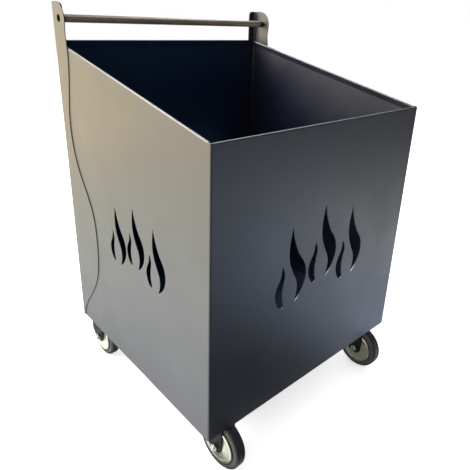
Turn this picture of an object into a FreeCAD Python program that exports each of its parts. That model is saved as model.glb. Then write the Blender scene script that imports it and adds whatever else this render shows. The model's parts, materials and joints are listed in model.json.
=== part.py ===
import FreeCAD, Part
import math
import os

# Firewood log rack: an open-topped sheet-steel bin on four swivel casters, with a
# push handle held between two ears at the back.
# Frame: +Z up, +Y towards the back (handle side), -Y towards the front panel.
# The origin is on the floor, under the middle of the whole object's box.
# All sizes are in millimetres.

Vector = FreeCAD.Vector
X_AXIS = Vector(1, 0, 0)
Y_AXIS = Vector(0, 1, 0)
Z_AXIS = Vector(0, 0, 1)

# ---- sheet metal -----------------------------------------------------------
SHEET = 1.5                 # steel sheet of every panel
BEND = 2.0                  # inside radius of every bend
BODY_WIDTH = 538.0          # over the two sides of the front wrap
BODY_DEPTH = 486.0          # front face to rear face
SKIRT_HEIGHT = 104.0        # lower edge of the walls above the floor
FRONT_HEIGHT = 516.0        # front rim above the lower edge
REAR_HEIGHT = 630.0         # rear rim above the lower edge
REAR_WIDTH = BODY_WIDTH + 2 * SHEET     # the rear flanges lap over the sides

# ---- teardrop hem along the rims ---------------------------------------------
HEM_DEPTH = 10.0            # turned-down return inside the wall
HEM_LOOP = 1.0              # inside radius of the fold
HEM_GAP = 0.2               # daylight between the wall and the lower end of the return
HEM_RADIUS = SHEET + HEM_LOOP
HEM_CUTBACK = 6.5           # distance from a front corner to the end of its hem

# ---- ears, upstands and the wavy front edge of the rear flanges --------------
EAR_HEIGHT = 699.5          # top of the ears above the lower edge
EAR_DEPTH = 54.0
EAR_ROUND = 33.0            # radius of the ear's front top corner
UPSTAND_WIDTH = 20.5        # strip of rear panel that rises beside each ear
UPSTAND_ROUND = 9.0
# The flange's front edge, as (distance from the rear face, height above the lower edge).
FLANGE_WAVE = [(51, 639), (51, 574), (33, 477), (56, 375), (102, 299),
               (112, 224), (101, 149), (62, 85), (24, 36), (9, 0)]

# ---- handle -----------------------------------------------------------------
HANDLE_DIAMETER = 15.0
HANDLE_WALL = 1.0
HANDLE_FROM_REAR = 29.0     # axis in front of the rear face
HANDLE_HEIGHT = 669.5       # axis above the lower edge
HANDLE_RECESS = 1.0         # tube end inside the ear's outer face
PUSH_FIT = 0.1              # radial play of a fixed round piece in its hole

# ---- bottom panel -------------------------------------------------------------
CASTER_HEIGHT = 127.0       # floor to the underside of the bottom panel
TRAY_FLANGE = 20.0          # turned-down edge, welded inside the walls
TRAY_NOTCH = 8.0            # open corner between two flanges

# ---- flames cut through the front and both sides -------------------------------
# Each outline runs from the tip down the right edge, round the foot and up the left
# edge back to the tip, as (across, up) from its lower left.
TALL = {
    "right": [(6, 153), (10.5, 132), (19, 111), (30, 92), (41, 78), (48, 62), (49.5, 46),
              (45, 28), (36.5, 13.5), (25, 3)],
    "foot": (21.7, 0.9),
    "left": [(21.4, 4.5), (24.7, 14), (26.8, 27), (24.5, 43), (15.5, 60), (7, 77),
             (1.8, 93), (0, 112), (1.8, 132), (6, 153)],
}
SHORT = {
    "right": [(15.5, 84), (21, 74), (22.8, 62), (20.5, 50), (18.5, 38), (18.6, 25),
              (20.6, 14), (22.8, 6.5)],
    "foot": (21.2, 0.8),
    "left": [(15, 1.4), (8.3, 7.5), (2.8, 19), (0.3, 32), (2, 43), (6, 52), (11.7, 62),
             (14, 73), (15.5, 84)],
}
FLAME_PAIRS = 3
FLAME_PITCH = 85.0          # from one pair to the next
TALL_OFFSET = 30.0          # tall flame to the right of its short one
MIDDLE_RAISE = 22.0         # the middle pair stands higher
MOTIF_WIDTH = (FLAME_PAIRS - 1) * FLAME_PITCH + TALL_OFFSET + 49.5
FRONT_MOTIF_BASE = 195.5    # bottom of the flames above the lower edge
FRONT_MOTIF_SCALE = 1.0
SIDE_MOTIF_BASE = 223.0
SIDE_MOTIF_SCALE = 0.78
SIDE_MOTIF_FORWARD = 28.5   # motif centre in front of the side's middle

# ---- casters ------------------------------------------------------------------
FRONT_AXIS_X = 217.0        # swivel axes, either side of the middle
REAR_AXIS_X = 235.0
FRONT_AXIS_Y = -206.0
REAR_AXIS_Y = 217.0
TRAIL = 14.0                # wheel axle in front of its swivel axis
# name: (swivel axis x, swivel axis y, resting turn in degrees)
CASTERS = {
    "front_left": (-FRONT_AXIS_X, FRONT_AXIS_Y, 3.2),
    "front_right": (FRONT_AXIS_X, FRONT_AXIS_Y, -0.5),
    "rear_left": (-REAR_AXIS_X, REAR_AXIS_Y, 0.4),
    "rear_right": (REAR_AXIS_X, REAR_AXIS_Y, 0.0),
}
WHEEL_RADIUS = 50.0
TYRE_WIDTH = 23.4
SHOULDER_ROUND = 6.3        # between the level tread and the side wall
TREAD_HALF = TYRE_WIDTH / 2 - SHOULDER_ROUND
BEAD_RADIUS = 38.0          # raised rubber bead round the rim
BEAD_FACE = 14.0            # its outer face, from the middle of the wheel
TYRE_BORE = 36.1
RIM_RADIUS = 36.0
RIM_FACE = 14.4             # outer face of the disc, from the middle of the wheel
RIM_SHEET = 1.5
RIM_WELL = 0.5              # depth of the ring pressed into the disc
WELL_OUTSIDE = 30.0         # radii of that ring, over its slopes
WELL_INSIDE = 15.0
WELL_SLOPE = 2.0
HUB_RADIUS = 9.0
HUB_HALF = 14.0
SLEEVE_RADIUS = 6.0
AXLE_RADIUS = 4.0
RUNNING_FIT = 0.05          # radial play of a turning piece on its shaft

FORK_SHEET = 2.5
FORK_GAP = 30.0             # between the legs
FORK_TOP = 108.0            # upper face of the crown above the floor
FORK_BACK = 22.0            # crown behind the swivel axis
LEG_END = 13.5              # radius of the leg round the axle
LEG_SLANT = 63.0            # rear edge of the leg, degrees from upright
CROWN_RADIUS = 22.0         # the crown's shoulder, small enough to turn inside the skirt
SHOULDER_LOW = 92.0         # where the crown starts to draw in
SHOULDER_REACH = 40.0

AXLE_HEX = 13.0             # across flats of the axle bolt's head and nut
AXLE_HEAD = 5.3
AXLE_NUT = 6.5
AXLE_TAIL = 3.0             # bolt end beyond the nut

KINGPIN_RADIUS = 5.0
KINGPIN_HEAD_RADIUS = 8.0
KINGPIN_HEAD = 3.0
KINGPIN_PLAY = 0.2          # under the crown
KINGPIN_NUT = 8.0
KINGPIN_HEX = 17.0
KINGPIN_TAIL = 2.5
WASHER_RADIUS = 10.5
WASHER = 2.0

CUP_RADIUS = 21.5
CUP_TOP_RADIUS = 14.0
CUP_SKIRT = 109.0           # lower edge of the fixed bearing cup
CUP_ROOF = 113.6            # its inner roof, over the balls
CUP_BREAK = 115.5           # where the skirt turns into the cone
CUP_WALL = 2.5
CUP_BOSS = 9.0              # centre boss round the kingpin
BALL_RADIUS = 2.5
BALL_CIRCLE = 15.0
BALL_COUNT = 12

FRONT_Y = -BODY_DEPTH / 2
REAR_Y = BODY_DEPTH / 2
HALF_WIDTH = BODY_WIDTH / 2
FAR = 2000.0                # longer than the object, for cutting tools


def origin_shift():
    """Distance that brings the middle of the object's box over the origin along Y."""
    front = []
    back = [REAR_Y]
    for x, y, turn in CASTERS.values():
        angle = math.radians(abs(turn))
        round_radius = WHEEL_RADIUS - SHOULDER_ROUND
        spread = round_radius * math.cos(angle) + TREAD_HALF * math.sin(angle) + SHOULDER_ROUND
        front.append(y - TRAIL * math.cos(angle) - spread)
        back.append(y - TRAIL * math.cos(angle) + spread)
    return -(min(front) + max(back)) / 2


# ---- drawing helpers ------------------------------------------------------------
def wire(points):
    return Part.makePolygon(points + [points[0]])


def smooth(points):
    """One smooth edge through the points."""
    curve = Part.BSplineCurve()
    curve.interpolate(points)
    return curve.toShape()


def arc(start, middle, end):
    return Part.Arc(start, middle, end).toShape()


def line(start, end):
    return Part.LineSegment(start, end).toShape()


def face(edges):
    return Part.Face(Part.Wire(Part.__sortEdges__(edges)))


def prism(flat, direction):
    return flat.extrude(direction)


def cylinder(radius, low, high, x=0.0, y=0.0):
    return Part.makeCylinder(radius, high - low, Vector(x, y, low), Z_AXIS)


def hexagon(across, thickness):
    """Hexagonal prism on the XY plane, centred on Z."""
    corner = across / 2 / math.cos(math.radians(30))
    points = []
    for step in range(6):
        angle = math.radians(60 * step)
        points.append(Vector(corner * math.cos(angle), corner * math.sin(angle), 0))
    return Part.Face(wire(points)).extrude(Vector(0, 0, thickness))


def bevelled(block, across, thickness, both_ends):
    """Turn the corners of a hexagonal block down to a cone, as on a nut or bolt head."""
    flat = across / 2
    corner = across / 2 / math.cos(math.radians(30))
    drop = (corner - flat) * 0.6
    low = drop if both_ends else 0.0
    low_radius = flat if both_ends else corner + 1
    points = [Vector(0, 0, 0), Vector(low_radius, 0, 0), Vector(corner + 0.01, 0, low),
              Vector(corner + 0.01, 0, thickness - drop), Vector(flat, 0, thickness),
              Vector(0, 0, thickness)]
    if not both_ends:
        points[1:3] = [Vector(corner + 0.01, 0, 0)]
    turned = Part.Face(wire(points)).revolve(Vector(0, 0, 0), Z_AXIS, 360)
    return block.common(turned)


def channel(width, leg, thickness, bend):
    """Cross-section of a U-shaped sheet in the XY plane.

    The web's outer face lies on y = 0 and the legs run towards +Y."""
    half = width / 2
    outer = bend + thickness
    diagonal = math.sqrt(0.5)
    inner_half = half - thickness
    edges = []
    for side in (-1, 1):
        centre = Vector(side * (half - outer), outer, 0)
        edges.append(line(Vector(side * half, leg, 0), Vector(side * half, outer, 0)))
        edges.append(arc(Vector(side * half, outer, 0),
                         centre + Vector(side * outer * diagonal, -outer * diagonal, 0),
                         Vector(side * (half - outer), 0, 0)))
        edges.append(line(Vector(side * inner_half, leg, 0), Vector(side * inner_half, outer, 0)))
        edges.append(arc(Vector(side * inner_half, outer, 0),
                         centre + Vector(side * bend * diagonal, -bend * diagonal, 0),
                         Vector(side * (half - outer), thickness, 0)))
        edges.append(line(Vector(side * half, leg, 0), Vector(side * inner_half, leg, 0)))
    reach = half - outer
    edges.append(line(Vector(-reach, 0, 0), Vector(reach, 0, 0)))
    edges.append(line(Vector(-reach, thickness, 0), Vector(reach, thickness, 0)))
    return face(edges)


def hem(length):
    """Teardrop hem along +X: the sheet's edge folded over, its return leaning on the wall.

    The wall's outer face is y = 0, the inside of the bin is +Y, and z = 0 is where the
    wall ends and the fold begins."""
    middle = HEM_RADIUS
    far = 2 * HEM_RADIUS
    low_inner = SHEET + HEM_GAP
    edges = [
        arc(Vector(0, 0, 0), Vector(0, middle, HEM_RADIUS), Vector(0, far, 0)),
        line(Vector(0, far, 0), Vector(0, low_inner + SHEET, -HEM_DEPTH)),
        line(Vector(0, low_inner + SHEET, -HEM_DEPTH), Vector(0, low_inner, -HEM_DEPTH)),
        line(Vector(0, low_inner, -HEM_DEPTH), Vector(0, far - SHEET, 0)),
        arc(Vector(0, far - SHEET, 0), Vector(0, middle, HEM_LOOP), Vector(0, SHEET, 0)),
        line(Vector(0, SHEET, 0), Vector(0, 0, 0)),
    ]
    return prism(face(edges), Vector(length, 0, 0))


# ---- flames -----------------------------------------------------------------------
def flame(outline):
    """One flame as a flat face in the XZ plane."""
    right = [Vector(x, 0, z) for x, z in outline["right"]]
    left = [Vector(x, 0, z) for x, z in outline["left"]]
    foot = Vector(outline["foot"][0], 0, outline["foot"][1])
    return face([smooth(right), arc(right[-1], foot, left[0]), smooth(left)])


def flame_cutter(scale, depth):
    """All flames of one panel as solids along Y, centred on x = 0 with their base on z = 0."""
    cutters = []
    for pair in range(FLAME_PAIRS):
        raise_by = MIDDLE_RAISE if pair == 1 else 0.0
        left = pair * FLAME_PITCH - MOTIF_WIDTH / 2
        for outline, offset in ((SHORT, 0.0), (TALL, TALL_OFFSET)):
            shape = flame(outline)
            shape.translate(Vector(left + offset, 0, raise_by))
            shape.scale(scale)
            cutters.append(prism(shape, Vector(0, depth, 0)))
    return Part.makeCompound(cutters)


# ---- bin --------------------------------------------------------------------------
def rim_slope():
    return math.atan2(REAR_HEIGHT - FRONT_HEIGHT, BODY_DEPTH)


def above_rim(front_z, start_y):
    """Everything above a line that is level over the front and then rises to the rear."""
    rise = FAR * math.tan(rim_slope())
    side_view = Part.Face(wire([
        Vector(-FAR / 2, FRONT_Y - SHEET, front_z), Vector(-FAR / 2, start_y, front_z),
        Vector(-FAR / 2, start_y + FAR, front_z + rise),
        Vector(-FAR / 2, FRONT_Y - SHEET, front_z + rise)]))
    return prism(side_view, Vector(FAR, 0, 0))


def front_wrap():
    """Front and both sides, bent from one sheet, with hemmed rims and flame cut-outs."""
    side_end = REAR_Y - SHEET - BEND - 0.5
    wall = prism(channel(BODY_WIDTH, side_end - FRONT_Y, SHEET, BEND), Vector(0, 0, REAR_HEIGHT))
    wall.translate(Vector(0, FRONT_Y, SKIRT_HEIGHT))

    slope = rim_slope()
    rim_z = SKIRT_HEIGHT + FRONT_HEIGHT
    start_y = FRONT_Y + SHEET
    wall = wall.cut(above_rim(rim_z, start_y))

    # Between its ends a hem starts one fold radius under the rim.
    fold_z = rim_z - HEM_RADIUS
    folded = above_rim(fold_z, start_y)
    front_half = HALF_WIDTH - HEM_CUTBACK
    side_start = FRONT_Y + HEM_CUTBACK
    front_zone = Part.makeBox(2 * front_half, 2 * SHEET, FAR, Vector(-front_half, FRONT_Y - SHEET, 0))
    side_zone = Part.makeBox(FAR, side_end - side_start, FAR, Vector(-FAR / 2, side_start, 0))
    wall = wall.cut(folded.common(front_zone)).cut(folded.common(side_zone))

    front_hem = hem(2 * front_half)
    front_hem.translate(Vector(-front_half, FRONT_Y, fold_z))
    side_hem = hem((side_end - side_start) / math.cos(slope))
    side_hem.rotate(Vector(0, 0, 0), Y_AXIS, -math.degrees(slope))
    side_hem.rotate(Vector(0, 0, 0), Z_AXIS, 90)
    right_hem = side_hem.translated(Vector(
        HALF_WIDTH, side_start, fold_z + (side_start - start_y) * math.tan(slope)))
    left_hem = right_hem.mirror(Vector(0, 0, 0), X_AXIS)
    wrap = wall.multiFuse([front_hem, right_hem, left_hem])

    cutter = flame_cutter(FRONT_MOTIF_SCALE, 4 * SHEET)
    wrap = wrap.cut(cutter.translated(Vector(
        0, FRONT_Y - SHEET, SKIRT_HEIGHT + FRONT_MOTIF_BASE)))
    side_cutter = flame_cutter(SIDE_MOTIF_SCALE, 4 * SHEET)
    side_cutter.rotate(Vector(0, 0, 0), Z_AXIS, -90)
    left_cutter = side_cutter.translated(Vector(
        -HALF_WIDTH - SHEET, -SIDE_MOTIF_FORWARD, SKIRT_HEIGHT + SIDE_MOTIF_BASE))
    right_cutter = left_cutter.copy()
    right_cutter.rotate(Vector(0, 0, 0), Z_AXIS, 180)
    wrap = wrap.cut(left_cutter).cut(right_cutter)
    return wrap.removeSplitter()


def flange_outline():
    """Side view of a rear flange and its ear, in the YZ plane, as a face."""
    low = SKIRT_HEIGHT
    top = SKIRT_HEIGHT + EAR_HEIGHT
    front = REAR_Y - EAR_DEPTH
    diagonal = EAR_ROUND * math.sqrt(0.5)
    wave = [Vector(0, REAR_Y - back, low + height) for back, height in FLANGE_WAVE]
    ear_foot = wave[0]
    round_start = Vector(0, front + EAR_ROUND, top)
    round_end = Vector(0, front, top - EAR_ROUND)
    round_centre = Vector(0, front + EAR_ROUND, top - EAR_ROUND)
    return face([
        line(wave[-1], Vector(0, REAR_Y, low)),
        line(Vector(0, REAR_Y, low), Vector(0, REAR_Y, top)),
        line(Vector(0, REAR_Y, top), round_start),
        arc(round_start, round_centre + Vector(0, -diagonal, diagonal), round_end),
        line(round_end, ear_foot),
        smooth(wave),
    ])


def rear_outline():
    """Rear view of the rear panel with its two upstands, in the XZ plane, as a face."""
    half = REAR_WIDTH / 2
    inner = half - UPSTAND_WIDTH
    low = SKIRT_HEIGHT
    rim = SKIRT_HEIGHT + REAR_HEIGHT - HEM_RADIUS
    top = SKIRT_HEIGHT + EAR_HEIGHT
    diagonal = UPSTAND_ROUND * math.sqrt(0.5)
    edges = [line(Vector(-half, 0, low), Vector(half, 0, low)),
             line(Vector(-inner, 0, rim), Vector(inner, 0, rim))]
    for side in (-1, 1):
        centre = Vector(side * (inner + UPSTAND_ROUND), 0, top - UPSTAND_ROUND)
        round_low = Vector(side * inner, 0, top - UPSTAND_ROUND)
        round_high = Vector(side * (inner + UPSTAND_ROUND), 0, top)
        edges.append(line(Vector(side * half, 0, low), Vector(side * half, 0, top)))
        edges.append(line(Vector(side * half, 0, top), round_high))
        edges.append(arc(round_low, centre + Vector(-side * diagonal, 0, diagonal), round_high))
        edges.append(line(round_low, Vector(side * inner, 0, rim)))
    return face(edges)


def rear_panel():
    """Rear wall with upstands, hemmed rim, and wavy flanges that lap over the sides."""
    leg = max(back for back, height in FLANGE_WAVE) + SHEET
    sheet = prism(channel(REAR_WIDTH, leg, SHEET, BEND), Vector(0, 0, EAR_HEIGHT))
    sheet.rotate(Vector(0, 0, 0), Z_AXIS, 180)
    sheet.translate(Vector(0, REAR_Y, SKIRT_HEIGHT))
    side_view = prism(flange_outline(), Vector(FAR, 0, 0)).translated(Vector(-FAR / 2, 0, 0))
    rear_view = prism(rear_outline(), Vector(0, FAR, 0)).translated(Vector(0, -FAR / 2, 0))
    panel = sheet.common(side_view).common(rear_view)

    hem_half = REAR_WIDTH / 2 - UPSTAND_WIDTH - SHEET
    rear_hem = hem(2 * hem_half)
    rear_hem.rotate(Vector(0, 0, 0), Z_AXIS, 180)
    rear_hem.translate(Vector(hem_half, REAR_Y, SKIRT_HEIGHT + REAR_HEIGHT - HEM_RADIUS))
    panel = panel.fuse(rear_hem)

    hole = Part.makeCylinder(
        HANDLE_DIAMETER / 2 + PUSH_FIT, FAR,
        Vector(-FAR / 2, REAR_Y - HANDLE_FROM_REAR, SKIRT_HEIGHT + HANDLE_HEIGHT), X_AXIS)
    return panel.cut(hole).removeSplitter()


def bottom_panel():
    """Floor of the bin: a sheet with four turned-down flanges and the caster holes."""
    top = CASTER_HEIGHT + SHEET
    width = BODY_WIDTH - 2 * SHEET
    depth = BODY_DEPTH - 2 * SHEET
    across = channel(width, TRAY_FLANGE, SHEET, BEND)
    across.rotate(Vector(0, 0, 0), X_AXIS, -90)
    across_length = depth - 2 * TRAY_NOTCH
    across.translate(Vector(0, -across_length / 2, top))
    panel = prism(across, Vector(0, across_length, 0))
    along = channel(depth, TRAY_FLANGE, SHEET, BEND)
    along.rotate(Vector(0, 0, 0), X_AXIS, -90)
    along.rotate(Vector(0, 0, 0), Z_AXIS, 90)
    along_length = width - 2 * TRAY_NOTCH
    along.translate(Vector(-along_length / 2, 0, top))
    panel = panel.fuse(prism(along, Vector(along_length, 0, 0)))
    for x, y, turn in CASTERS.values():
        panel = panel.cut(cylinder(KINGPIN_RADIUS + PUSH_FIT, 0, FAR, x, y))
    return panel.removeSplitter()


def handle_tube():
    length = REAR_WIDTH - 2 * HANDLE_RECESS
    start = Vector(-length / 2, REAR_Y - HANDLE_FROM_REAR, SKIRT_HEIGHT + HANDLE_HEIGHT)
    outer = Part.makeCylinder(HANDLE_DIAMETER / 2, length, start, X_AXIS)
    inner = Part.makeCylinder(HANDLE_DIAMETER / 2 - HANDLE_WALL, length, start, X_AXIS)
    return outer.cut(inner)


# ---- caster, drawn with its swivel axis on Z and its wheel towards -Y -----------------
def axle_side(shape):
    """Move a shape drawn along Z at the origin onto the axle, its Z towards +X."""
    shape.rotate(Vector(0, 0, 0), Y_AXIS, 90)
    shape.translate(Vector(0, -TRAIL, WHEEL_RADIUS))
    return shape


def turned(points):
    """Solid turned round the axle from (x along the axle, radius) points."""
    outline = [Vector(radius, 0, x) for x, radius in points]
    return axle_side(Part.Face(wire(outline)).revolve(Vector(0, 0, 0), Z_AXIS, 360))


def fork():
    """Pressed fork: a crown on the swivel axis and two legs down to the axle."""
    width = FORK_GAP + 2 * FORK_SHEET
    front = TRAIL + LEG_END
    sheet = channel(width, FORK_TOP, FORK_SHEET, BEND)
    sheet.rotate(Vector(0, 0, 0), X_AXIS, -90)
    sheet.translate(Vector(0, -front, FORK_TOP))
    body = prism(sheet, Vector(0, front + FORK_BACK, 0))

    # Side view: round end on the axle, upright front edge, slanted rear edge.
    slant = math.radians(LEG_SLANT)
    axle = Vector(0, -TRAIL, WHEEL_RADIUS)
    touch = axle + Vector(0, LEG_END * math.cos(slant), -LEG_END * math.sin(slant))
    lowest = axle + Vector(0, 0, -LEG_END)
    run = FORK_BACK - touch.y
    corner = Vector(0, FORK_BACK, touch.z + run / math.tan(slant))
    tip = axle + Vector(0, -LEG_END, 0)
    leg = face([
        arc(tip, lowest, touch),
        line(touch, corner),
        line(corner, Vector(0, FORK_BACK, FORK_TOP)),
        line(Vector(0, FORK_BACK, FORK_TOP), Vector(0, -front, FORK_TOP)),
        line(Vector(0, -front, FORK_TOP), tip),
    ])
    body = body.common(prism(leg, Vector(width, 0, 0)).translated(Vector(-width / 2, 0, 0)))

    # The crown draws in to a round shoulder that turns inside the bin's skirt.
    shoulder = Part.Face(wire([
        Vector(0, 0, 0), Vector(SHOULDER_REACH, 0, 0), Vector(SHOULDER_REACH, 0, SHOULDER_LOW),
        Vector(CROWN_RADIUS, 0, SKIRT_HEIGHT - 1), Vector(CROWN_RADIUS, 0, FORK_TOP),
        Vector(0, 0, FORK_TOP)])).revolve(Vector(0, 0, 0), Z_AXIS, 360)
    body = body.common(shoulder)
    body = body.cut(cylinder(KINGPIN_RADIUS + RUNNING_FIT, WHEEL_RADIUS, FORK_TOP + 1))
    hole = axle_side(cylinder(AXLE_RADIUS + PUSH_FIT, -width, width))
    return body.cut(hole).removeSplitter()


def bearing_cup():
    """Fixed upper cup of the swivel bearing, clamped under the bottom panel."""
    outline = [
        (KINGPIN_RADIUS + PUSH_FIT, CASTER_HEIGHT), (CUP_TOP_RADIUS, CASTER_HEIGHT),
        (CUP_RADIUS, CUP_BREAK), (CUP_RADIUS, CUP_SKIRT),
        (CUP_RADIUS - CUP_WALL, CUP_SKIRT), (CUP_RADIUS - CUP_WALL, CUP_ROOF),
        (CUP_BOSS, CUP_ROOF), (CUP_BOSS, CUP_SKIRT), (KINGPIN_RADIUS + PUSH_FIT, CUP_SKIRT)]
    points = [Vector(radius, 0, z) for radius, z in outline]
    return Part.Face(wire(points)).revolve(Vector(0, 0, 0), Z_AXIS, 360)


def kingpin():
    """Riveted pin with a threaded stem that holds the fork and clamps the caster."""
    head_top = FORK_TOP - FORK_SHEET - KINGPIN_PLAY
    stem_top = CASTER_HEIGHT + SHEET + WASHER + KINGPIN_NUT + KINGPIN_TAIL
    head = cylinder(KINGPIN_HEAD_RADIUS, head_top - KINGPIN_HEAD, head_top)
    stem = cylinder(KINGPIN_RADIUS, head_top, stem_top)
    return head.fuse(stem).removeSplitter()


def kingpin_washer():
    low = CASTER_HEIGHT + SHEET
    disc = cylinder(WASHER_RADIUS, low, low + WASHER)
    return disc.cut(cylinder(KINGPIN_RADIUS + PUSH_FIT, low, low + WASHER))


def kingpin_nut():
    block = bevelled(hexagon(KINGPIN_HEX, KINGPIN_NUT), KINGPIN_HEX, KINGPIN_NUT, True)
    block = block.cut(cylinder(KINGPIN_RADIUS + PUSH_FIT, 0, KINGPIN_NUT))
    return block.translated(Vector(0, 0, CASTER_HEIGHT + SHEET + WASHER))


def swivel_balls():
    """Ring of bearing balls between the fork's crown and the fixed cup."""
    centre_z = (FORK_TOP + CUP_ROOF) / 2
    balls = []
    for step in range(BALL_COUNT):
        angle = 2 * math.pi * step / BALL_COUNT
        centre = Vector(BALL_CIRCLE * math.cos(angle), BALL_CIRCLE * math.sin(angle), centre_z)
        balls.append(Part.makeSphere(BALL_RADIUS, centre))
    return Part.makeCompound(balls)


def axle_bolt():
    """Hexagon bolt with its head against the right leg and its end past the left nut."""
    leg_outside = FORK_GAP / 2 + FORK_SHEET
    head = bevelled(hexagon(AXLE_HEX, AXLE_HEAD), AXLE_HEX, AXLE_HEAD, False)
    head.translate(Vector(0, 0, leg_outside))
    shank = cylinder(AXLE_RADIUS, -leg_outside - AXLE_NUT - AXLE_TAIL, leg_outside)
    return axle_side(head.fuse(shank).removeSplitter())


def axle_nut():
    leg_outside = FORK_GAP / 2 + FORK_SHEET
    block = bevelled(hexagon(AXLE_HEX, AXLE_NUT), AXLE_HEX, AXLE_NUT, True)
    block = block.cut(cylinder(AXLE_RADIUS + PUSH_FIT, 0, AXLE_NUT))
    block.translate(Vector(0, 0, -leg_outside - AXLE_NUT))
    return axle_side(block)


def axle_sleeve():
    """Spacer tube clamped between the legs, on which the hub turns."""
    half = FORK_GAP / 2
    tube = cylinder(SLEEVE_RADIUS, -half, half)
    return axle_side(tube.cut(cylinder(AXLE_RADIUS + PUSH_FIT, -half, half)))


def hub():
    """Plain bearing bush that carries both rim discs."""
    tube = cylinder(HUB_RADIUS, -HUB_HALF, HUB_HALF)
    return axle_side(tube.cut(cylinder(SLEEVE_RADIUS + RUNNING_FIT, -HUB_HALF, HUB_HALF)))


def rim_disc(side):
    """One pressed half of the rim: a disc with a shallow ring pressed into it and a
    cylindrical edge under the tyre."""
    face_steps = [(0.0, RIM_RADIUS - RIM_SHEET), (0.0, WELL_OUTSIDE),
                  (-RIM_WELL, WELL_OUTSIDE - WELL_SLOPE), (-RIM_WELL, WELL_INSIDE + WELL_SLOPE),
                  (0.0, WELL_INSIDE), (0.0, HUB_RADIUS + PUSH_FIT)]
    back = RIM_FACE - RIM_SHEET
    outside = [(RIM_FACE + x, radius) for x, radius in face_steps]
    inside = [(back + x, radius) for x, radius in reversed(face_steps)]
    edge = [(0.1, RIM_RADIUS - RIM_SHEET), (0.1, RIM_RADIUS), (back, RIM_RADIUS)]
    return turned([(side * x, radius) for x, radius in edge + outside + inside])


def tyre():
    """Solid tyre with round shoulders and a raised bead on each side."""
    half = TYRE_WIDTH / 2
    round_radius = WHEEL_RADIUS - SHOULDER_ROUND
    diagonal = SHOULDER_ROUND * math.sqrt(0.5)
    edges = [line(Vector(WHEEL_RADIUS, 0, -TREAD_HALF), Vector(WHEEL_RADIUS, 0, TREAD_HALF)),
             line(Vector(TYRE_BORE, 0, -BEAD_FACE), Vector(TYRE_BORE, 0, BEAD_FACE))]
    for side in (-1, 1):
        edges.append(arc(Vector(WHEEL_RADIUS, 0, side * TREAD_HALF),
                         Vector(round_radius + diagonal, 0, side * (TREAD_HALF + diagonal)),
                         Vector(round_radius, 0, side * half)))
        steps = [Vector(round_radius, 0, side * half), Vector(BEAD_RADIUS, 0, side * half),
                 Vector(BEAD_RADIUS, 0, side * BEAD_FACE), Vector(TYRE_BORE, 0, side * BEAD_FACE)]
        for start, end in zip(steps, steps[1:]):
            edges.append(line(start, end))
    return axle_side(face(edges).revolve(Vector(0, 0, 0), Z_AXIS, 360))


def fixed_parts():
    return {"bearing_cup": bearing_cup(), "kingpin": kingpin()}


def swivel_parts():
    return {"fork": fork(), "swivel_balls": swivel_balls(), "axle_bolt": axle_bolt(),
            "axle_nut": axle_nut(), "axle_sleeve": axle_sleeve()}


def wheel_parts():
    return {"hub": hub(), "rim_outer": rim_disc(-1), "rim_inner": rim_disc(1), "tyre": tyre()}


def placed(shape, caster):
    """Copy of a caster piece at its swivel axis, at the caster's resting turn."""
    x, y, turn = CASTERS[caster]
    copy = shape.copy()
    copy.rotate(Vector(0, 0, 0), Z_AXIS, turn)
    copy.translate(Vector(x, y, 0))
    return copy


def all_parts():
    parts = {
        "front_wrap": front_wrap(),
        "rear_panel": rear_panel(),
        "bottom_panel": bottom_panel(),
        "handle_tube": handle_tube(),
        "kingpin_washers": Part.makeCompound([placed(kingpin_washer(), name) for name in CASTERS]),
        "kingpin_nuts": Part.makeCompound([placed(kingpin_nut(), name) for name in CASTERS]),
    }
    pieces = {**fixed_parts(), **swivel_parts(), **wheel_parts()}
    for caster in CASTERS:
        for piece, shape in pieces.items():
            parts[caster + "_" + piece] = placed(shape, caster)
    return parts


os.makedirs("parts", exist_ok=True)
shift = Vector(0, origin_shift(), 0)
for name, shape in all_parts().items():
    shape.translated(shift).exportStep("parts/" + name + ".step")
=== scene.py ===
import json
import math

import bmesh
import bpy
from mathutils import Matrix, Quaternion, Vector


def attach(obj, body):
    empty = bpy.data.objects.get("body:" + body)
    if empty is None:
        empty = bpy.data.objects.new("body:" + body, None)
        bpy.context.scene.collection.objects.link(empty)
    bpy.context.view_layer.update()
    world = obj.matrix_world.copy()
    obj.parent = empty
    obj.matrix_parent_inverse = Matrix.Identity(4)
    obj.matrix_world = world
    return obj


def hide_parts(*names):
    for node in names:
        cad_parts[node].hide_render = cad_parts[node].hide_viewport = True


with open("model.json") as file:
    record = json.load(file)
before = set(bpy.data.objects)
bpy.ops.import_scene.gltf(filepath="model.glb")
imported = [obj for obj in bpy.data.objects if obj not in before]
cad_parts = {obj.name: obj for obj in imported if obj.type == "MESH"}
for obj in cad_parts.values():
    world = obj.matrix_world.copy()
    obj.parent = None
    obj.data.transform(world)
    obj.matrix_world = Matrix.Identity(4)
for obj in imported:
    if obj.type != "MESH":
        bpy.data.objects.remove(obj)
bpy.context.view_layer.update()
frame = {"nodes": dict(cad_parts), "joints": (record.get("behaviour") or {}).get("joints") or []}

# Firewood bin on casters: finished metal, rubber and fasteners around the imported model,
# with camera and light. All lengths are in metres, in the row frame: +Z up, +Y towards
# the handle, -Y the front.

MM = 0.001
nodes = frame["nodes"]
joints = {joint["name"]: joint for joint in frame["joints"]}
CORNERS = ("front_left", "front_right", "rear_left", "rear_right")

# ---- camera -----------------------------------------------------------------
VIEW_AZIMUTH = -40.86
VIEW_ELEVATION = 20.59
VIEW_ROLL = 1.10
VIEW_DISTANCE = 0.9466
VIEW_TARGET = Vector((-0.0531, -0.0140, 0.4265))
LENS = 34.88
SHIFT_X = 0.0230
SHIFT_Y = -0.0737


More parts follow.
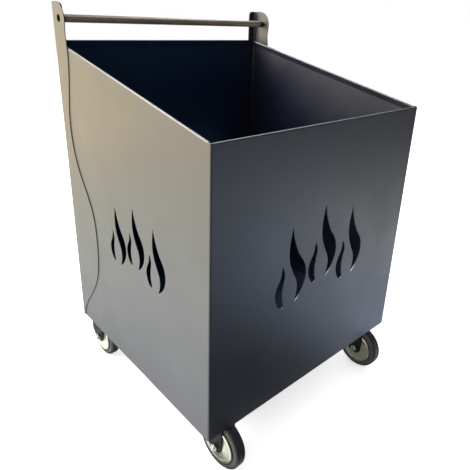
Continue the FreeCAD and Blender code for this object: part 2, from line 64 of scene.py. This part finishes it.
def make_camera():
    azimuth, elevation = math.radians(VIEW_AZIMUTH), math.radians(VIEW_ELEVATION)
    back = Vector((math.sin(azimuth) * math.cos(elevation),
                   -math.cos(azimuth) * math.cos(elevation),
                   math.sin(elevation)))
    data = bpy.data.cameras.new("camera")
    data.lens = LENS
    data.shift_x = SHIFT_X
    data.shift_y = SHIFT_Y
    camera = bpy.data.objects.new("camera", data)
    bpy.context.scene.collection.objects.link(camera)
    camera.location = VIEW_TARGET + back * VIEW_DISTANCE
    camera.rotation_mode = "QUATERNION"
    roll = Quaternion((0, 0, 1), math.radians(VIEW_ROLL))
    camera.rotation_quaternion = (-back).to_track_quat("-Z", "Y") @ roll
    bpy.context.scene.camera = camera


# ---- materials -----------------------------------------------------------------
INNER_SIDE, INNER_FRONT, INNER_REAR = 0.2675, -0.2329, 0.2501    # inner faces of the bin's walls
BLUE_TINT_FADE = (0.20, 0.26)              # the painted blue reflection tint fades out towards the right wall
LEFT_RIM_EDGE, FRONT_RIM_EDGE = (-0.263, -0.262), (-0.227, -0.226)
EAR_SHADE_SPAN = (0.257, 0.262)             # painted shade: the tube is black from the bare tube into the ear
RING_WAVE = 1050.0                    # turned rings of the rim discs, about 6 mm apart
# Inside the second span of radii the tyre is painted near black: painted shade in the gap round the rim disc.
TREAD_FADE, BEAD_SHADE_EDGE = (44.0 * MM, 48.5 * MM), (39.0 * MM, 40.0 * MM)


class Shader:
    """Builds one material's node tree."""

    def __init__(self, name):
        self.material = bpy.data.materials.new(name)
        self.material.use_nodes = True
        self.tree = self.material.node_tree
        self.tree.nodes.clear()
        output = self.tree.nodes.new("ShaderNodeOutputMaterial")
        self.surface = self.tree.nodes.new("ShaderNodeBsdfPrincipled")
        self.link(self.surface.outputs["BSDF"], output.inputs["Surface"])
        self.place = self.tree.nodes.new("ShaderNodeTexCoord").outputs["Object"]

    def link(self, start, end):
        self.tree.links.new(start, end)

    def set(self, **values):
        """Set the surface's sockets; an underscore stands for a space."""
        for key, value in values.items():
            self.surface.inputs[key.replace("_", " ")].default_value = value

    def feed(self, socket, value):
        self.link(value, self.surface.inputs[socket])

    def noise(self, scale, detail=2.0, roughness=0.5, vector=None):
        node = self.tree.nodes.new("ShaderNodeTexNoise")
        node.inputs["Scale"].default_value = scale
        node.inputs["Detail"].default_value = detail
        node.inputs["Roughness"].default_value = roughness
        self.link(vector or self.place, node.inputs["Vector"])
        return node.outputs["Fac"]

    def span(self, value, low, high, to_low=0.0, to_high=1.0, smooth=False):
        node = self.tree.nodes.new("ShaderNodeMapRange")
        if smooth:
            node.interpolation_type = "SMOOTHSTEP"
        for socket, number in zip(("From Min", "From Max", "To Min", "To Max"), (low, high, to_low, to_high)):
            node.inputs[socket].default_value = number
        self.link(value, node.inputs["Value"])
        return node.outputs["Result"]

    def mix(self, factor, first, second):
        node = self.tree.nodes.new("ShaderNodeMix")
        node.data_type = "RGBA"
        self.link(factor, node.inputs[0])
        for socket, value in ((node.inputs[6], first), (node.inputs[7], second)):
            if isinstance(value, tuple):
                socket.default_value = (*value, 1.0)
            else:
                self.link(value, socket)
        return node.outputs[2]

    def math(self, operation, first, second):
        node = self.tree.nodes.new("ShaderNodeMath")
        node.operation = operation
        for socket, value in ((node.inputs[0], first), (node.inputs[1], second)):
            if isinstance(value, (int, float)):
                socket.default_value = value
            else:
                self.link(value, socket)
        return node.outputs[0]

    def distance(self, centre):
        """Distance of the shaded point from a fixed point of the object."""
        node = self.tree.nodes.new("ShaderNodeVectorMath")
        node.operation = "DISTANCE"
        self.link(self.place, node.inputs[0])
        node.inputs[1].default_value = centre
        return node.outputs["Value"]

    def bump(self, height, distance, strength=1.0, under=None):
        node = self.tree.nodes.new("ShaderNodeBump")
        node.inputs["Strength"].default_value = strength
        node.inputs["Distance"].default_value = distance
        self.link(height, node.inputs["Height"])
        if under:
            self.link(under, node.inputs["Normal"])
        return node.outputs["Normal"]


def painted_inside_shade(shader):
    """Masks for painted shade: 1 on faces that look into the bin, which are painted navy, 0 elsewhere; and
    the same without the rims and the right wall, whose highlights stay grey (a painted blue tint elsewhere)."""
    parts = shader.tree.nodes.new("ShaderNodeSeparateXYZ")
    shader.link(shader.place, parts.inputs[0])
    x, y = parts.outputs["X"], parts.outputs["Y"]
    aside = shader.math("ABSOLUTE", x, 0.0)
    across = shader.span(aside, INNER_SIDE + 0.4 * MM, INNER_SIDE + 0.9 * MM, 1.0, 0.0)
    behind = shader.span(y, INNER_FRONT - 0.9 * MM, INNER_FRONT - 0.4 * MM)
    before = shader.span(y, INNER_REAR + 0.4 * MM, INNER_REAR + 0.9 * MM, 1.0, 0.0)
    inside_shade_mask = shader.math("MULTIPLY", shader.math("MULTIPLY", across, behind), before)
    blue_reflection_mask = shader.math("MULTIPLY", shader.span(x, *BLUE_TINT_FADE, 1.0, 0.0), shader.span(x, *LEFT_RIM_EDGE))
    blue_reflection_mask = shader.math("MULTIPLY", blue_reflection_mask, shader.span(y, *FRONT_RIM_EDGE))
    return inside_shade_mask, shader.math("MULTIPLY", inside_shade_mask, blue_reflection_mask)


def powder_coat():
    """Satin anthracite powder coat: near-black, with orange peel and faintly wavy sheet; inside the bin
    it is painted navy as painted shade, with blue-tinted highlights as painted reflection."""
    shader = Shader("powder_coat")
    cloud = shader.span(shader.noise(5.0, 4.0), 0.35, 0.65)
    outside = shader.mix(cloud, (0.0012, 0.0030, 0.0090), (0.0025, 0.0045, 0.0120))
    # painted shade: the inside of the bin is coloured darker and bluer than the outside
    inside = shader.mix(cloud, (0.0003, 0.0014, 0.0095), (0.0006, 0.0022, 0.0125))
    inside_shade_mask, blue_reflection_mask = painted_inside_shade(shader)
    shader.feed("Base Color", shader.mix(inside_shade_mask, outside, inside))
    # painted reflection: highlights inside the bin, but not on the rims or the right wall, are tinted blue
    shader.feed("Specular Tint", shader.mix(blue_reflection_mask, (1.0, 1.0, 1.0), (0.25, 0.60, 1.0)))
    shader.feed("Roughness", shader.span(shader.noise(11.0, 5.0, 0.6), 0.3, 0.7, 0.38, 0.46))
    wavy = shader.bump(shader.noise(5.5, 1.0), 0.0012, 0.35)
    peel = shader.bump(shader.noise(520.0, 2.0), 0.00003, 1.0, wavy)
    shader.feed("Normal", peel)
    shader.set(IOR=1.65)
    return shader.material


def tube_coat():
    """Coat of the handle tube: browner and lighter than the bin's as painted warm light, and black inside the
    ears as painted shade.
    """
    shader = Shader("tube_coat")
    patch = shader.span(shader.noise(16.0, 4.0, 0.6), 0.35, 0.65)
    parts = shader.tree.nodes.new("ShaderNodeSeparateXYZ")
    shader.link(shader.place, parts.inputs[0])
    # painted shade: the tube turns black over the span where it runs into the ears
    ear_shade = shader.span(shader.math("ABSOLUTE", parts.outputs["X"], 0.0), *EAR_SHADE_SPAN)
    # painted warm light: the tube's colour is lighter and browner than the bin's coat
    warm_lit_brown = shader.mix(patch, (0.070, 0.058, 0.036), (0.094, 0.076, 0.046))
    shader.feed("Base Color", shader.mix(ear_shade, warm_lit_brown, (0.003, 0.003, 0.005)))
    shader.feed("Roughness", shader.span(shader.noise(30.0, 4.0), 0.3, 0.7, 0.32, 0.42))
    shader.feed("Normal", shader.bump(shader.noise(520.0, 2.0), 0.00003))
    shader.set(IOR=1.65)
    return shader.material


def pressed_steel():
    """Black passivated steel of the forks and bearing cups."""
    shader = Shader("fork_coat")
    patch = shader.span(shader.noise(70.0, 4.0, 0.6), 0.35, 0.7)
    shader.feed("Base Color", shader.mix(patch, (0.004, 0.006, 0.006), (0.010, 0.014, 0.013)))
    shader.feed("Roughness", shader.span(shader.noise(160.0, 3.0), 0.3, 0.7, 0.36, 0.50))
    shader.feed("Normal", shader.bump(shader.noise(900.0, 3.0), 0.00002))
    shader.set(IOR=1.4, Specular_IOR_Level=0.1)
    return shader.material


def zinc_plate():
    """Bright zinc on bolts, nuts, washers and kingpins."""
    shader = Shader("zinc")
    patch = shader.span(shader.noise(240.0, 3.0), 0.3, 0.7)
    shader.feed("Base Color", shader.mix(patch, (0.30, 0.31, 0.31), (0.46, 0.46, 0.43)))
    shader.feed("Roughness", shader.span(shader.noise(420.0, 4.0, 0.7), 0.3, 0.75, 0.20, 0.38))
    shader.feed("Normal", shader.bump(shader.noise(1500.0, 2.0), 0.00001))
    shader.set(Metallic=1.0)
    return shader.material


def rim_plate(corner):
    """Zinc-plated pressed disc: turned rings that draw the light out along the radius."""
    shader = Shader(corner + "_zinc_rim")
    radius = shader.distance(axle_centre(corner))
    tint = shader.span(shader.noise(34.0, 2.0), 0.35, 0.65)
    shader.feed("Base Color", shader.mix(tint, (0.46, 0.52, 0.48), (0.54, 0.49, 0.37)))
    shader.feed("Roughness", shader.span(shader.noise(90.0, 3.0), 0.3, 0.75, 0.26, 0.32))
    turned = shader.math("SINE", shader.math("MULTIPLY", radius, RING_WAVE), 0.0)
    shader.feed("Normal", shader.bump(turned, 0.00003, 0.5))
    shader.set(Metallic=1.0)
    return shader.material


def rubber(corner):
    """Black solid rubber: a grey side wall, a darker and bluer tread, and painted shade, near black, round
    the rim disc.
    """
    shader = Shader(corner + "_tyre_rubber")
    radius = shader.distance(axle_centre(corner))
    mottle = shader.span(shader.noise(110.0, 4.0, 0.6), 0.35, 0.7)
    wall = shader.mix(mottle, (0.024, 0.025, 0.026), (0.038, 0.038, 0.037))
    tread = shader.mix(mottle, (0.004, 0.005, 0.009), (0.008, 0.009, 0.014))
    outward = shader.span(radius, *TREAD_FADE, smooth=True)
    # painted shade: near black in the gap between the tyre and the rim disc
    bead_shade = shader.span(radius, *BEAD_SHADE_EDGE)
    shader.feed("Base Color", shader.mix(bead_shade, (0.003, 0.003, 0.004), shader.mix(outward, wall, tread)))
    shader.feed("Roughness", shader.span(mottle, 0.0, 1.0, 0.46, 0.60))
    shader.feed("Normal", shader.bump(shader.noise(1100.0, 3.0), 0.00004))
    return shader.material


def nylon():
    """Black nylon of the hubs."""
    shader = Shader("hub_nylon")
    patch = shader.noise(160.0, 3.0)
    shader.feed("Base Color", shader.mix(patch, (0.020, 0.020, 0.021), (0.035, 0.035, 0.035)))
    shader.feed("Roughness", shader.span(shader.noise(300.0, 2.0), 0.3, 0.7, 0.38, 0.5))
    shader.feed("Normal", shader.bump(shader.noise(800.0, 2.0), 0.00002))
    return shader.material


def bearing_steel():
    """Ground steel of the swivel balls and axle sleeves."""
    shader = Shader("bearing_steel")
    shader.feed("Base Color", shader.mix(shader.noise(400.0, 2.0), (0.45, 0.45, 0.44), (0.60, 0.60, 0.58)))
    shader.feed("Roughness", shader.span(shader.noise(600.0, 3.0), 0.3, 0.7, 0.12, 0.24))
    shader.set(Metallic=1.0)
    return shader.material


def dress(material, *names):
    for name in names:
        mesh = nodes[name].data
        mesh.materials.clear()
        mesh.materials.append(material)


# ---- mesh helpers ----------------------------------------------------------------
def soften(points, radius, steps=4):
    """Round every corner of a closed outline with a short curve."""
    smooth = []
    for index, corner in enumerate(points):
        corner = Vector(corner)
        before = Vector(points[index - 1]) - corner
        after = Vector(points[(index + 1) % len(points)]) - corner
        start = corner + before * min(radius / before.length, 0.45)
        end = corner + after * min(radius / after.length, 0.45)
        for step in range(steps + 1):
            t = step / steps
            smooth.append(start * (1 - t) ** 2 + corner * 2 * t * (1 - t) + end * t ** 2)
    return smooth


def ring_mesh(rings, closed):
    """Vertices and faces of a tube-like mesh from rings of equal size.

    closed joins the last ring to the first; otherwise both ends are capped."""
    size = len(rings[0])
    vertices = [point for ring in rings for point in ring]
    faces = []
    pairs = len(rings) if closed else len(rings) - 1
    for index in range(pairs):
        low, high = index * size, (index + 1) % len(rings) * size
        for step in range(size):
            following = (step + 1) % size
            faces.append((low + step, low + following, high + following, high + step))
    if not closed:
        last = (len(rings) - 1) * size
        faces.append(tuple(range(size - 1, -1, -1)))
        faces.append(tuple(range(last, last + size)))
    return vertices, faces


def lathe(outline, segments):
    """Closed outline of (along, radius) points turned round local Z."""
    rings = []
    for along, radius in outline:
        turn = [2 * math.pi * step / segments for step in range(segments)]
        rings.append([(radius * math.cos(a), radius * math.sin(a), along) for a in turn])
    return ring_mesh(rings, closed=True)


def hexagon(across, thickness, segments=72):
    """Rings of a hexagon whose corners are cut by 30 degree cones, from bottom to top."""
    flat = across / 2
    cone = flat * 0.97
    slope = math.tan(math.radians(30))
    rings = [[], [], [], []]
    for step in range(segments):
        angle = 2 * math.pi * step / segments
        radius = flat / math.cos(angle % (math.pi / 3) - math.pi / 6)
        drop = slope * (radius - cone)
        for ring, out, z in zip(rings, (cone, radius, radius, cone), (0, drop, thickness - drop, thickness)):
            ring.append((out * math.cos(angle), out * math.sin(angle), z))
    return rings


def circle(radius, z, segments=72):
    turn = [2 * math.pi * step / segments for step in range(segments)]
    return [(radius * math.cos(a), radius * math.sin(a), z) for a in turn]


def nut(across, thickness, bore):
    """Hexagon nut with a countersunk bore."""
    sink = 0.6
    rings = [circle(bore, sink), circle(bore + sink, 0)] + hexagon(across, thickness)
    rings += [circle(bore + sink, thickness), circle(bore, thickness - sink)]
    return ring_mesh(rings, closed=True)


def bolt_head(across, thickness):
    return ring_mesh(hexagon(across, thickness), closed=False)


def rod(radius, low, high, segments=48):
    return ring_mesh([circle(radius, low, segments), circle(radius, high, segments)], closed=False)


def threaded(radius, pitch, low, high, segments=48):
    """Stub of threaded rod along local Z, with a chamfered upper end."""
    depth = 0.6 * pitch
    chamfer = 0.8 * depth
    rows = round((high - low) / pitch * 8)
    rings = []
    for row in range(rows + 1):
        z = low + (high - low) * row / rows
        ring = []
        for step in range(segments):
            turn = step / segments
            wave = abs(2 * ((z / pitch - turn) % 1.0) - 1)
            out = radius - depth * (1 - wave)
            out = min(out, radius - chamfer + (high - z))
            angle = 2 * math.pi * turn
            ring.append((out * math.cos(angle), out * math.sin(angle), z))
        rings.append(ring)
    return ring_mesh(rings, closed=False)


def piece(name, solids, place, body, material, replaced=(), crease=35.0):
    """One object from solids drawn in local frames, put in place on a body."""
    vertices, faces = [], []
    for matrix, (points, polygons) in solids:
        start = len(vertices)
        vertices += [place @ matrix @ Vector(point) for point in points]
        faces += [tuple(start + index for index in polygon) for polygon in polygons]
    mesh = bpy.data.meshes.new(name)
    mesh.from_pydata(vertices, [], faces)
    work = bmesh.new()
    work.from_mesh(mesh)
    bmesh.ops.recalc_face_normals(work, faces=work.faces)
    work.to_mesh(mesh)
    work.free()
    mesh.shade_smooth()
    mesh.set_sharp_from_angle(angle=math.radians(crease))
    mesh.materials.append(material)
    item = bpy.data.objects.new(name, mesh)
    bpy.context.scene.collection.objects.link(item)
    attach(item, body)
    if replaced:
        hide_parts(*replaced)
    return item


# ---- casters, drawn in millimetres ---------------------------------------------------
WHEEL_STEPS = 128
TYRE_RADIUS, TREAD_HALF, SHOULDER = 50.0, 5.4, 6.3
SEAM = [(0.3, 50.0), (0.0, 49.8), (-0.3, 50.0)]
# Side of the tyre under its round shoulder: wall, groove, bead and bore.
TYRE_SIDE = [(11.5, 38.9), (11.0, 38.3), (11.6, 37.9), (14.0, 37.7), (14.0, 36.1)]
# Outer face of a rim disc, from its edge under the tyre in to the hub.
RIM_FACE = [(0.1, 36.0), (13.3, 36.0), (14.4, 34.9), (14.4, 30.0), (13.9, 28.0), (13.9, 17.0),
            (14.4, 15.0), (14.4, 9.1)]
RIM_SHEET = 1.5
HUB_HALF, HUB_RADIUS, HUB_BORE = 14.0, 9.0, 6.05
LEG_OUTSIDE = 17.5
AXLE_RADIUS, AXLE_PITCH, AXLE_HEX, AXLE_HEAD, AXLE_NUT, AXLE_TAIL = 4.0, 1.25, 13.0, 5.3, 6.5, 3.0
PIN_RADIUS, PIN_PITCH, PIN_HEX, PIN_NUT, PIN_TAIL = 5.0, 1.5, 17.0, 8.0, 2.5
PIN_HEAD = [(102.3, 0.01), (102.3, 5.2), (103.0, 7.2), (104.2, 8.0), (105.3, 8.0), (105.3, 0.01)]
NUT_LOW = 130.5
WASHER = [(128.5, 5.1), (128.5, 10.5), (130.5, 10.5), (130.5, 5.1)]
BEARING_CUP = [(127.0, 5.1), (127.0, 14.0), (115.5, 21.5), (109.0, 21.5), (109.0, 19.0),
               (113.6, 19.0), (113.6, 9.0), (109.0, 9.0), (109.0, 5.1)]
HERE = Matrix.Identity(4)


def axle_centre(corner):
    return Vector(joints[corner + "_spin"]["pos_m"])


def axle_place(corner):
    """Matrix from millimetres on the axle, local Z along it, to the row frame."""
    along = Vector(joints[corner + "_spin"]["axis"]).normalized()
    up = Vector((0, 0, 1))
    turn = Matrix((up, along.cross(up), along)).transposed().to_4x4()
    return Matrix.Translation(axle_centre(corner)) @ turn @ Matrix.Scale(MM, 4)


def pin_place(corner):
    """Matrix from millimetres above the floor on the swivel axis to the row frame."""
    x, y = joints[corner + "_swivel"]["pos_m"][:2]
    return Matrix.Translation((x, y, 0)) @ Matrix.Scale(MM, 4)


def raised(z):
    return Matrix.Translation((0, 0, z))


def flipped(z):
    """Local Z turned over, with its zero at z."""
    return Matrix.Translation((0, 0, z)) @ Matrix.Rotation(math.pi, 4, "X")


def rim_disc():
    """Pressed disc: its outer face, and the same line one sheet further in behind it."""
    back = [(max(along - RIM_SHEET, 0.1), min(radius, 36.0 - RIM_SHEET))
            for along, radius in reversed(RIM_FACE)]
    return lathe(soften(RIM_FACE + back, 0.8, 3), WHEEL_STEPS)


def tyre():
    shoulder = []
    for step in range(9):
        angle = math.radians(90 - 90 * step / 8)
        shoulder.append((TREAD_HALF + SHOULDER * math.cos(angle),
                         TYRE_RADIUS - SHOULDER + SHOULDER * math.sin(angle)))
    half = shoulder + soften([shoulder[-1]] + TYRE_SIDE, 0.5, 3)[4:]
    mirrored = [(-along, radius) for along, radius in reversed(half)]
    return lathe(half + mirrored + list(reversed(SEAM)), WHEEL_STEPS)


def hub():
    outline = [(-HUB_HALF, HUB_BORE), (-HUB_HALF, HUB_RADIUS), (HUB_HALF, HUB_RADIUS), (HUB_HALF, HUB_BORE)]
    return lathe(soften(outline, 0.6), 64)


def wheel(corner):
    place = axle_place(corner)
    body = corner + "_wheel"
    piece(corner + "_tyre_moulded", [(HERE, tyre())], place, body, rubber(corner),
          [corner + "_tyre"])
    plate = rim_plate(corner)
    piece(corner + "_rim_outer_pressed", [(flipped(0), rim_disc())], place, body, plate,
          [corner + "_rim_outer"])
    piece(corner + "_rim_inner_pressed", [(HERE, rim_disc())], place, body, plate,
          [corner + "_rim_inner"])
    piece(corner + "_hub_turned", [(HERE, hub())], place, body, NYLON, [corner + "_hub"])


def axle_fasteners(corner):
    place = axle_place(corner)
    body = corner + "_caster"
    nut_face = -LEG_OUTSIDE - AXLE_NUT
    bolt = [(raised(LEG_OUTSIDE), bolt_head(AXLE_HEX, AXLE_HEAD)),
            (HERE, rod(AXLE_RADIUS, nut_face + 1, LEG_OUTSIDE + 1)),
            (flipped(0), threaded(AXLE_RADIUS, AXLE_PITCH, -nut_face - 1, -nut_face + AXLE_TAIL))]
    piece(corner + "_axle_bolt_threaded", bolt, place, body, ZINC, [corner + "_axle_bolt"])
    piece(corner + "_axle_nut_cut", [(flipped(-LEG_OUTSIDE), nut(AXLE_HEX, AXLE_NUT, AXLE_RADIUS))],
          place, body, ZINC, [corner + "_axle_nut"])


def swivel_fasteners(corner):
    place = pin_place(corner)
    nut_top = NUT_LOW + PIN_NUT
    head = lathe(soften(PIN_HEAD, 0.5, 3), 64)
    pin = [(HERE, head), (HERE, rod(PIN_RADIUS, 105.0, nut_top - 1)),
           (HERE, threaded(PIN_RADIUS, PIN_PITCH, nut_top - 1, nut_top + PIN_TAIL))]
    piece(corner + "_kingpin_threaded", pin, place, "root", ZINC, [corner + "_kingpin"])
    piece(corner + "_bearing_cup_pressed", [(HERE, lathe(soften(BEARING_CUP, 1.0), 72))], place, "root",
          FORK_COAT, [corner + "_bearing_cup"])


def floor_fasteners():
    """The four nuts and washers that stand inside the bin."""
    washer = lathe(soften(WASHER, 0.3, 3), 64)
    washers = [(pin_place(corner), washer) for corner in CORNERS]
    nuts = [(pin_place(corner) @ raised(NUT_LOW), nut(PIN_HEX, PIN_NUT, PIN_RADIUS)) for corner in CORNERS]
    piece("kingpin_washers_turned", washers, HERE, "root", ZINC, ["kingpin_washers"])
    piece("kingpin_nuts_cut", nuts, HERE, "root", ZINC, ["kingpin_nuts"])


# ---- stage -----------------------------------------------------------------------
FLOOR_REACH = 14.0
CARD_LIFT = 0.002
CARD_FAR, CARD_BEND = 3.2, 0.2
FOOTPRINT = 0.275           # the cards start outside the bin's own footprint
# Light that the left side mirrors: (distance from the bin, colour).
BRIGHT = [(0.35, (0.82, 0.83, 0.84)), (0.45, (1.11, 1.14, 1.12)), (0.55, (1.48, 1.52, 1.46)),
          (0.80, (1.97, 2.01, 1.85)), (1.20, (2.30, 2.29, 1.93)), (1.90, (2.47, 2.26, 1.72)),
          (2.60, (3.45, 2.92, 1.93)), (3.40, (3.60, 2.92, 1.78)), (5.00, (3.10, 2.58, 1.56))]
# Light that the front mirrors, dimmer with distance.
DIM = [(0.30, 1.30), (1.20, 1.25), (1.80, 0.90), (2.40, 0.50), (3.20, 0.34), (4.00, 0.22), (9.00, 0.08)]
# Glow of the dim card under the bin: a painted shadow that reflections see in place of the floor.
UNDER_BIN_SHADOW = (0.16, 0.18, 0.16)
SKY_HEIGHT, SKY_RADIANCE = 2.6, 27.0
SKY_CORNER, SKY_SIZE = (-1.5, -0.3), (3.3, 2.1)


def area_light(name, place, aim, size, radiance, color):
    data = bpy.data.lights.new(name, "AREA")
    data.shape = "RECTANGLE"
    data.size, data.size_y = size
    data.energy = radiance * math.pi * size[0] * size[1]
    data.color = color
    light = bpy.data.objects.new(name, data)
    bpy.context.scene.collection.objects.link(light)
    light.location = place
    light.rotation_mode = "QUATERNION"
    light.rotation_quaternion = (Vector(aim) - Vector(place)).to_track_quat("-Z", "Y")
    light.visible_camera = False
    return light


def smoothstep(low, high, value):
    """0 at low and 1 at high, which may be the smaller of the two."""
    t = min(max((value - low) / (high - low), 0.0), 1.0)
    return t * t * (3 - 2 * t)


def blend(first, second, share):
    return [a + (b - a) * share for a, b in zip(first, second)]


def shade_under_bin():
    """Painted shadow: a dim card under the bin, standing in for the bin's shaded footprint, for the wheels to
    mirror.
    """
    reach = FOOTPRINT - 0.02
    corners = [(-reach, -reach, CARD_LIFT), (reach, -reach, CARD_LIFT), (reach, reach, CARD_LIFT),
               (-reach, reach, CARD_LIFT)]
    glossy_card("footprint_shadow_card", corners, [(0, 1, 2, 3)], [(*UNDER_BIN_SHADOW, 1.0)] * 4)


def ramp(stops, value):
    """Colour or number at a value, from a list of stops."""
    for (low, first), (high, second) in zip(stops, stops[1:]):
        if value < high:
            share = min(max((value - low) / (high - low), 0.0), 1.0)
            if isinstance(first, tuple):
                return blend(first, second, share)
            return first + (second - first) * share
    return stops[-1][1]


def studio_card(name, bearings, height, glow):
    """Curved card that lies on the floor round the bin and stands up at its far edge.

    Only reflections see it. Bearings are degrees clockwise from +Y, seen from above."""
    columns = 41
    vertices, colors = [], []
    for column in range(columns):
        bearing = bearings[0] + (bearings[1] - bearings[0]) * column / (columns - 1)
        direction = Vector((math.sin(math.radians(bearing)), math.cos(math.radians(bearing)), 0))
        near = FOOTPRINT / max(abs(direction.x), abs(direction.y))
        path = [(near * (CARD_FAR / near) ** (step / 24), CARD_LIFT) for step in range(25)]
        for step in range(1, 7):
            turn = math.radians(15 * step)
            path.append((CARD_FAR + CARD_BEND * math.sin(turn),
                         CARD_LIFT + CARD_BEND * (1 - math.cos(turn))))
        path += [(CARD_FAR + CARD_BEND, CARD_BEND + (height - CARD_BEND) * step / 8)
                 for step in range(1, 9)]
        for distance, z in path:
            vertices.append(direction * distance + Vector((0, 0, z)))
            colors.append((*glow(bearing, distance, z), 1.0))
    rows = len(path)
    faces = [(c * rows + r, (c + 1) * rows + r, (c + 1) * rows + r + 1, c * rows + r + 1)
             for c in range(columns - 1) for r in range(rows - 1)]
    glossy_card(name, vertices, faces, colors)


def glossy_card(name, vertices, faces, colors):
    """Emitter with a colour at each vertex that only reflections see."""
    mesh = bpy.data.meshes.new(name)
    mesh.from_pydata(vertices, [], faces)
    tint = mesh.color_attributes.new("glow", "FLOAT_COLOR", "POINT")
    for item, color in zip(tint.data, colors):
        item.color = color
    material = bpy.data.materials.new(name)
    material.use_nodes = True
    tree = material.node_tree
    tree.nodes.clear()
    emission = tree.nodes.new("ShaderNodeEmission")
    attribute = tree.nodes.new("ShaderNodeAttribute")
    attribute.attribute_name = "glow"
    output = tree.nodes.new("ShaderNodeOutputMaterial")
    tree.links.new(attribute.outputs["Color"], emission.inputs["Color"])
    tree.links.new(emission.outputs["Emission"], output.inputs["Surface"])
    material.cycles.emission_sampling = "NONE"
    mesh.materials.append(material)
    card = bpy.data.objects.new(name, mesh)
    bpy.context.scene.collection.objects.link(card)
    card.visible_camera = False
    card.visible_diffuse = False
    card.visible_shadow = False


def bright_side(bearing, distance, z):
    """Light for the left side, brighter on the left of the bin than behind it."""
    turned = smoothstep(-15, -95, bearing)
    return [(0.93 + 1.15 * turned) * c for c in ramp(BRIGHT, distance + 2 * z)]


def dark_side(bearing, distance, z):
    """Light for the front, with a painted shadow of the bin close under it, and dimmer with distance."""
    x = distance * math.sin(math.radians(bearing))
    # painted shadow: the card is near black close in front of and under the bin, where its shadow falls
    under = smoothstep(0.0, 0.48, x + 0.35 * (distance - 0.35))
    level = (0.05 + 0.95 * under) * (1 - 0.35 * smoothstep(138, 158, bearing))
    level *= ramp(DIM, distance + 6 * z)
    level *= 1 + 0.3 * smoothstep(0.45, 0.8, x) * smoothstep(1.7, 1.0, distance)
    clear = smoothstep(150, 122, bearing) * smoothstep(0.5, 1.1, distance)
    tint = blend((0.87, 1.0, 1.24), (0.99, 1.0, 0.98), clear)
    return [level * c for c in tint]


def overhead_card():
    """Bright patches over the bin, placed where the folded rims and the tube mirror them."""
    columns, rows = 23, 15
    vertices, colors = [], []
    for column in range(columns):
        for row in range(rows):
            x = SKY_CORNER[0] + SKY_SIZE[0] * column / (columns - 1)
            y = SKY_CORNER[1] + SKY_SIZE[1] * row / (rows - 1)
            vertices.append((x, y, SKY_HEIGHT))
            over_left_rim = smoothstep(-0.1, -0.5, x) * smoothstep(0.1, 0.5, y)
            over_front_rim = 0.5 * smoothstep(0.4, 0.1, y) * smoothstep(1.7, 1.1, x) * smoothstep(0.3, 0.8, x)
            over_tube_end = 0.4 * smoothstep(1.2, 1.6, x) * smoothstep(0.0, 0.3, y)
            level = SKY_RADIANCE * max(over_left_rim, over_front_rim, over_tube_end)
            colors.append((level, 0.98 * level, 0.94 * level, 1.0))
    faces = [(c * rows + r, c * rows + r + 1, (c + 1) * rows + r + 1, (c + 1) * rows + r)
             for c in range(columns - 1) for r in range(rows - 1)]
    glossy_card("overhead_card", vertices, faces, colors)


def make_stage():
    mesh = bpy.data.meshes.new("floor")
    corner = FLOOR_REACH
    mesh.from_pydata([(-corner, -corner, 0), (corner, -corner, 0), (corner, corner, 0), (-corner, corner, 0)],
                     [], [(0, 1, 2, 3)])
    floor = bpy.data.objects.new("floor", mesh)
    bpy.context.scene.collection.objects.link(floor)
    shader = Shader("floor")
    shader.set(Base_Color=(0.86, 0.86, 0.86, 1.0), Roughness=0.9, Emission_Color=(1.0, 1.0, 1.0, 1.0),
               Emission_Strength=0.55)
    mesh.materials.append(shader.material)

    world = bpy.data.worlds.new("world")
    bpy.context.scene.world = world
    world.use_nodes = True
    background = world.node_tree.nodes["Background"]
    background.inputs["Color"].default_value = (1.0, 1.0, 1.0, 1.0)
    background.inputs["Strength"].default_value = 1.0
    bpy.context.scene.view_settings.view_transform = "Standard"

    area_light("rear_left_softbox", (-2.9, 2.25, 2.2), (0.0, 0.0, 0.55), (3.0, 0.9), 25.0, (1.0, 0.97, 0.90))
    area_light("rear_right_softbox", (3.0, 2.6, 1.9), (0.0, 0.0, 0.5), (2.4, 2.0), 3.0, (1.0, 0.99, 0.96))
    area_light("sky_softbox", (-1.0, 2.1, 3.1), (0.0, 0.0, 0.5), (3.0, 1.4), 5.0, (1.0, 0.97, 0.90))
    studio_card("rear_left_card", (-115, 12), 1.5, bright_side)
    studio_card("front_right_flag", (90, 225), 4.5, dark_side)
    shade_under_bin()
    overhead_card()


# ---- assembly -------------------------------------------------------------------------
make_camera()
COAT, FORK_COAT, ZINC, NYLON, STEEL = powder_coat(), pressed_steel(), zinc_plate(), nylon(), bearing_steel()
dress(COAT, "front_wrap", "rear_panel", "bottom_panel")
dress(tube_coat(), "handle_tube")
floor_fasteners()
for corner in CORNERS:
    dress(FORK_COAT, corner + "_fork")
    dress(STEEL, corner + "_axle_sleeve", corner + "_swivel_balls")
    wheel(corner)
    axle_fasteners(corner)
    swivel_fasteners(corner)
make_stage()
